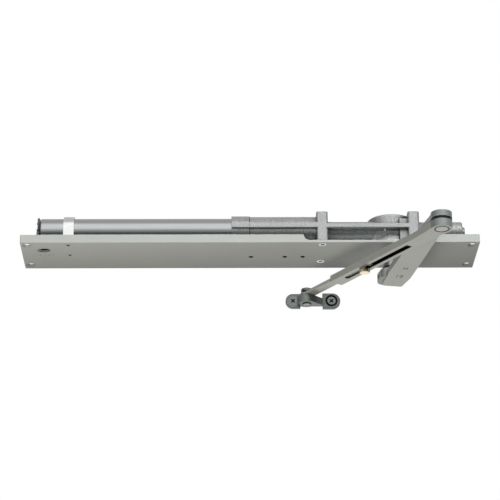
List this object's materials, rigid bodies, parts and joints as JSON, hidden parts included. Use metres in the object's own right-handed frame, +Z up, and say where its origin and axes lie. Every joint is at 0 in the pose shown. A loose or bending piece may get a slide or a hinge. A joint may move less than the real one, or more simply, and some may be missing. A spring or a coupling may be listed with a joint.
{
  "type": "concealed overhead door closer",
  "caption": "Door closer on a long cover plate: spring tube and cast hydraulic body above, folding two-piece arm with an adjustable slotted forearm and shoe below.",
  "frame": {"origin": "centre of the mounting plate's outer (lower) face, which is the centre of its four frame holes", "axes": "+X along the plate towards the pinion end, +Y across the plate away from its lip, +Z up into the door header"},
  "size_m": [0.5334, 0.2413, 0.0994],
  "materials": {
    "plate_paint": "warm grey satin paint",
    "cast_alloy": "sand cast, as cast grain",
    "drawn_tube": "drawn steel tube, bright",
    "bright_zinc": "bright zinc plate",
    "plated_screws": "blue zinc plate",
    "spring_steel": "oil tempered wire",
    "hardened_steel": "ground steel",
    "bearing_bronze": "turned bronze",
    "seal_rubber": "black",
    "valve_brass": "turned brass",
    "arm_paint": "warm grey satin paint",
    "yellow_zinc": "yellow zinc plate",
    "shoe_paint": "grey paint on a casting"
  },
  "bodies": {
    "frame": {"mounting_plate": "plate_paint", "closer_body": "cast_alloy", "tube_collar": "cast_alloy", "collar_seal": "seal_rubber", "spring_tube": "drawn_tube", "tube_strap": "bright_zinc", "tube_saddle": "seal_rubber", "strap_screws": "plated_screws", "body_screws": "plated_screws", "lower_bush": "bearing_bronze", "upper_bush": "bearing_bronze", "shaft_seal": "seal_rubber", "pinion_cap": "cast_alloy", "end_plug": "hardened_steel", "closing_spring": "spring_steel"},
    "adjuster": {"adjusting_screw": "hardened_steel", "thrust_washer": "bearing_bronze", "star_wheel": "plated_screws"},
    "seat": {"spring_seat": "hardened_steel"},
    "piston": {"piston_rack": "hardened_steel", "piston_seal": "seal_rubber", "check_valve": "valve_brass"},
    "spindle": {"pinion_shaft": "hardened_steel", "main_arm": "arm_paint", "arm_set_screw": "hardened_steel"},
    "forearm": {"forearm_channel": "arm_paint", "elbow_pin": "hardened_steel", "elbow_washer": "bright_zinc"},
    "bar": {"forearm_bar": "arm_paint", "clamp_bolt": "yellow_zinc"},
    "shoe": {"shoe": "shoe_paint", "shoe_pivot": "hardened_steel", "shoe_washer": "bright_zinc", "shoe_screws": "plated_screws"},
    "backcheck": {"backcheck_valve": "valve_brass"},
    "closing_speed": {"closing_speed_valve": "valve_brass"},
    "latch": {"latch_valve": "valve_brass"}
  },
  "joints": [
    {"name": "spindle_turn", "type": "hinge", "parent": "frame", "child": "spindle", "pos_m": [0.166, -0.004, 0], "axis": [0, 0, 1], "range_deg": [-130, 0], "stiffness_Nm_per_rad": 5, "springref_deg": 103.13},
    {"name": "piston_slide", "type": "slide", "parent": "frame", "child": "piston", "axis": [1, 0, 0], "range_m": [-0.024, 0], "deforming": ["closing_spring"]},
    {"name": "adjuster_turn", "type": "hinge", "parent": "frame", "child": "adjuster", "pos_m": [-0.245, -0.016, 0.0209], "axis": [1, 0, 0], "range_deg": [-2880, 1920]},
    {"name": "seat_slide", "type": "slide", "parent": "frame", "child": "seat", "axis": [1, 0, 0], "range_m": [-0.0081, 0.0121], "deforming": ["closing_spring"]},
    {"name": "elbow", "type": "hinge", "parent": "spindle", "child": "forearm", "pos_m": [0.20485, -0.18998, 0], "axis": [0, 0, 1], "continuous": true},
    {"name": "forearm_length", "type": "slide", "parent": "forearm", "child": "bar", "axis": [-0.5527, 0.8334, 0], "range_m": [-0.038, 0.027]},
    {"name": "shoe_swivel", "type": "hinge", "parent": "bar", "child": "shoe", "pos_m": [0.06669, 0.01837, 0], "axis": [0, 0, 1], "range_deg": [-30, 95]},
    {"name": "backcheck_turn", "type": "hinge", "parent": "frame", "child": "backcheck", "pos_m": [0.0013, 0.0047, 0], "axis": [0, 0, 1], "range_deg": [-360, 540]},
    {"name": "closing_speed_turn", "type": "hinge", "parent": "frame", "child": "closing_speed", "pos_m": [0.0412, 0.0047, 0], "axis": [0, 0, 1], "range_deg": [-360, 540]},
    {"name": "latch_turn", "type": "hinge", "parent": "frame", "child": "latch", "pos_m": [0.0623, 0.0047, 0], "axis": [0, 0, 1], "range_deg": [-360, 540]}
  ],
  "couplings": [
    {"joint": "piston_slide", "follows": "spindle_turn", "m_per_rad": 0.0105},
    {"joint": "seat_slide", "follows": "adjuster_turn", "m_per_rad": -0.00023873}
  ]
}
